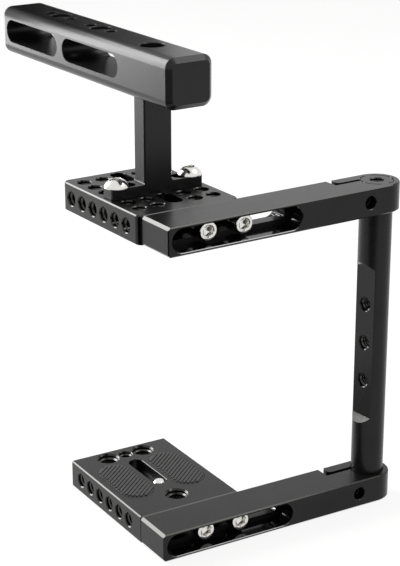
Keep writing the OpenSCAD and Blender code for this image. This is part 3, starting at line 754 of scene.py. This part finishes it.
def cap_screw(node, outward, measures, body, finish, plain=0.0):
    """A cap screw in a CAD node's place: head, socket, shank and cut thread."""
    tip, length = screw_line(node, outward)
    thread_r, pitch, head_r, flats = measures
    head = 2 * (thread_r + CLEARANCE)
    seat, depth = length - head, 0.61 * pitch
    core = thread_r - depth
    loops = [(core - 0.5, 0, False), (core, 0.5, False), (core, seat - plain - 0.3, False),
             (thread_r, seat - plain, False), (thread_r, seat, False), (head_r - 0.2, seat, False),
             (head_r, seat + 0.2, False)]
    loops += rounded(head_r, length, 0.55) + socket(flats, length, 0.6 * head)
    skin = placed(turned(loops), tip, outward)
    size = thread_size(core, pitch, depth, -1.0)
    thread = cut_thread(size, [tip], outward, 0.1, seat - plain - 0.2, finish)
    return piece(node + "_detail", [skin, thread], body, finish, [node])


# thread radius, pitch, head radius and width across the socket's flats
M3, M5, M6 = (1.44, 0.5, 2.745, 2.5), (2.44, 0.8, 4.25, 4.7), (2.94, 1.0, 4.95, 5.0)
lower_front, upper_front = Vector((0, -1, 0)), -across
for plate, front in (("base", lower_front), ("top", upper_front)):
    for end in ("inner", "outer"):
        cap_screw(f"{plate}_screw_{end}", front, M5, plate, stainless)
for level, front in (("lower", lower_front), ("upper", upper_front)):
    clamp_screw = f"{level}_pinch_screw"
    cap_screw(clamp_screw, front, M3, clamp_screw, black_oxide)
cap_screw("grip_bolt", UP, M6, "top", black_oxide, plain=6.0)

# %% [markdown]
# ## Dome screws
# Two polished dome heads hold the handle's foot. The dome is part of a ball, so its loops
# follow an arc from the rim to the socket's mouth.

# %% Dome screws
def dome_screw(node):
    """A dome-head screw in a CAD node's place."""
    tip, length = screw_line(node, UP)
    head_r, head, rim, thread_r, pitch, flats = 5.4, 4.3, 0.7, 3.115, 1.27, 3.97
    cap = head - rim
    ball = (cap * cap + head_r * head_r) / (2 * cap)
    seat, depth = length - head, 0.54 * pitch
    core = thread_r - depth
    mouth = flats / 2 / cos(pi / 6) + MOUTH_RIM
    loops = [(core - 0.6, 0, False), (core, 0.6, False), (core, seat - 0.8, False),
             (thread_r, seat - 0.4, False), (thread_r, seat, False), (head_r - 0.15, seat, False),
             (head_r, seat + 0.15, False)]
    centre_z, steps = seat + head - ball, 16
    for k in range(steps + 1):
        radius = head_r + (mouth - head_r) * k / steps
        top = centre_z + (ball * ball - radius * radius) ** 0.5
        loops.append((radius, top, False))
    loops += socket(flats, top, 2.3)[1:]
    skin = placed(turned(loops), tip, UP)
    size = thread_size(core, pitch, depth, -1.0)
    thread = cut_thread(size, [tip], UP, 0.1, seat - 0.4, stainless)
    return piece(node + "_detail", [skin, thread], "top", stainless, [node])


for node in ("left_handle_screw", "right_handle_screw"):
    dome_screw(node)

# %% [markdown]
# ## Camera screw
# It stands in the base plate's slot and screws into the camera. Below the plate it has a flat
# head with a slot for a coin, which is cut by a boolean so that the slot's edges stay crisp.

# %% Camera screw
low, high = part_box("camera_screw")
middle = Vector(((low.x + high.x) / 2, (low.y + high.y) / 2, low.z))
total = (high.z - low.z) / MM
loops = [(5.7, 0, False), (6.0, 0.3, False), (6.0, 1.9, False), (5.7, 2.2, False),
         (2.4, 2.2, False), (2.4, total - 4.7, False), (2.45, total - 4.6, False),
         (2.45, total - 0.5, False), (2.0, total, False)]
screw = bpy.data.objects.new("screw", placed(turned(loops), middle, UP))
cutter_mesh = bpy.data.meshes.new("coin_slot")
cut = bmesh.new()
bmesh.ops.create_cube(cut, size=1.0, matrix=Matrix.Translation(middle)
                      @ Matrix.Diagonal((20 * MM, 1.4 * MM, 2.2 * MM, 1)))
cut.to_mesh(cutter_mesh)
cut.free()
cutter = bpy.data.objects.new("coin_slot", cutter_mesh)
for thing in (screw, cutter):
    bpy.context.scene.collection.objects.link(thing)
slotting = screw.modifiers.new("coin_slot", "BOOLEAN")
slotting.operation, slotting.object, slotting.solver = "DIFFERENCE", cutter, "EXACT"
graph = bpy.context.evaluated_depsgraph_get()
skin = bpy.data.meshes.new_from_object(screw.evaluated_get(graph))
for thing in (screw, cutter):
    bpy.data.objects.remove(thing)
size = thread_size(2.45, 1.27, 0.665, -1.0)
thread = cut_thread(size, [middle], UP, total - 4.6, 4.5, stainless)
piece("camera_screw_detail", [skin, thread], "camera_screw", stainless, ["camera_screw"])

# %% [markdown]
# ## Rubber pads
# Two oval pads lie in shallow pockets, moulded with slanting ribs that grip the camera. The
# ribs are one bar, copied by Geometry Nodes across the pad, and each copy is stretched to the
# pad's width at its place. That width is found in Python by walking along the rib's line.

# %% A tree that lays ribs
def rib_tree():
    """The node tree that lays one rib on each point, as long as the point says."""
    tree = bpy.data.node_groups.new("moulded_ribs", "GeometryNodeTree")
    face = tree.interface
    face.new_socket("Geometry", in_out="INPUT", socket_type="NodeSocketGeometry")
    for name in ("Foot", "Crest", "Height", "Slant"):
        face.new_socket(name, in_out="INPUT", socket_type="NodeSocketFloat")
    face.new_socket("Finish", in_out="INPUT", socket_type="NodeSocketMaterial")
    face.new_socket("Geometry", in_out="OUTPUT", socket_type="NodeSocketGeometry")
    given = add(tree, "NodeGroupInput").outputs
    line = add(tree, "GeometryNodeCurvePrimitiveLine", {"Start": (-0.5, 0, 0), "End": (0.5, 0, 0)})
    line = add(tree, "GeometryNodeSetCurveNormal", {0: line.outputs[0]}, mode="Z_UP")
    shape = add(tree, "GeometryNodeCurvePrimitiveQuadrilateral",
                {"Height": given["Height"], "Bottom Width": given["Foot"], "Top Width": given["Crest"],
                 "Offset": 0.0}, mode="TRAPEZOID")
    bar = add(tree, "GeometryNodeCurveToMesh",
              {"Curve": line.outputs[0], "Profile Curve": shape.outputs[0], "Fill Caps": True})
    long = add(tree, "GeometryNodeInputNamedAttribute", {"Name": "long"}, data_type="FLOAT")
    stretch = add(tree, "ShaderNodeCombineXYZ", {"X": long.outputs[0], "Y": 1.0, "Z": 1.0})
    spin = add(tree, "ShaderNodeCombineXYZ", {"Z": given["Slant"]})
    copies = add(tree, "GeometryNodeInstanceOnPoints",
                 {"Points": given["Geometry"], "Instance": bar.outputs[0], "Rotation": spin.outputs[0],
                  "Scale": stretch.outputs[0]})
    real = add(tree, "GeometryNodeRealizeInstances", {0: copies.outputs[0]})
    painted = add(tree, "GeometryNodeSetMaterial",
                  {"Geometry": real.outputs[0], "Material": given["Finish"]})
    add(tree, "NodeGroupOutput", {0: painted.outputs[0]})
    return tree


ribs = rib_tree()
print("rib tree has", len(ribs.nodes), "nodes")

# %% [markdown]
# A pad's body is an oval block with a softened upper edge, as a mould leaves it, and the ribs
# stop short of that edge. Both fill the box of the CAD model's plain pad.

# %% The two pads
RIB_PITCH, RIB_HEIGHT, SLANT = 1.75, 0.35, radians(40)
RIB_SINK, RIB_MARGIN, SHORTEST, STRIDE = 0.06, 0.35, 1.5, 0.05


def oval(radius, straight, height):
    """Points round an oval with straight long sides, in mm."""
    ends = [(radius * cos(a), radius * sin(a)) for a in (2 * pi * i / 96 for i in range(96))]
    return [(x, y + (straight if i < 48 else -straight), height) for i, (x, y) in enumerate(ends)]


def pad(node):
    """A ribbed rubber pad in a CAD node's place."""
    low, high = (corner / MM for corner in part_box(node))
    middle = (low + high) / 2
    radius, straight = (high.x - low.x) / 2, (high.y - low.y - high.x + low.x) / 2
    base = high.z - RIB_HEIGHT
    skin = bmesh.new()
    rings = []
    for inset, height in ((0.0, low.z), (0.0, base - 0.25), (0.08, base - 0.08), (0.25, base)):
        ring = oval(radius - inset, straight, height)
        offset = Vector((middle.x, middle.y, 0))
        rings.append([skin.verts.new((Vector(spot) + offset) * MM) for spot in ring])
    for lower, upper in zip(rings, rings[1:]):
        for i in range(len(lower)):
            j = (i + 1) % len(lower)
            skin.faces.new((lower[i], lower[j], upper[j], upper[i]))
    skin.faces.new(rings[0])
    skin.faces.new(rings[-1])
    body = bpy.data.meshes.new("oval")
    skin.to_mesh(body)
    skin.free()
    # each rib's clear length inside the oval
    lead, step = Vector((cos(SLANT), sin(SLANT))), Vector((-sin(SLANT), cos(SLANT)))
    places, lengths = [], []
    for k in range(-12, 13):
        found = []
        for t in (n * STRIDE for n in range(-500, 501)):
            spot = step * k * RIB_PITCH + lead * t
            off = Vector((spot.x, max(abs(spot.y) - straight, 0.0)))
            if off.length < radius - RIB_MARGIN:
                found.append(t)
        if found and found[-1] - found[0] > SHORTEST:
            spot = step * k * RIB_PITCH + lead * (found[0] + found[-1]) / 2
            lift = base + (RIB_HEIGHT - RIB_SINK) / 2
            places.append(Vector((middle.x + spot.x, middle.y + spot.y, lift)) * MM)
            lengths.append((found[-1] - found[0]) * MM)
    bars = grown(ribs, places, {"Foot": 1.2 * MM, "Crest": 0.6 * MM,
                                "Height": (RIB_HEIGHT + RIB_SINK) * MM, "Slant": SLANT,
                                "Finish": rubber}, long=lengths)
    made = piece(node + "_rubber", [body, bars], "base", rubber, [node])
    return made


for node in ("left_pad", "right_pad"):
    pad(node)
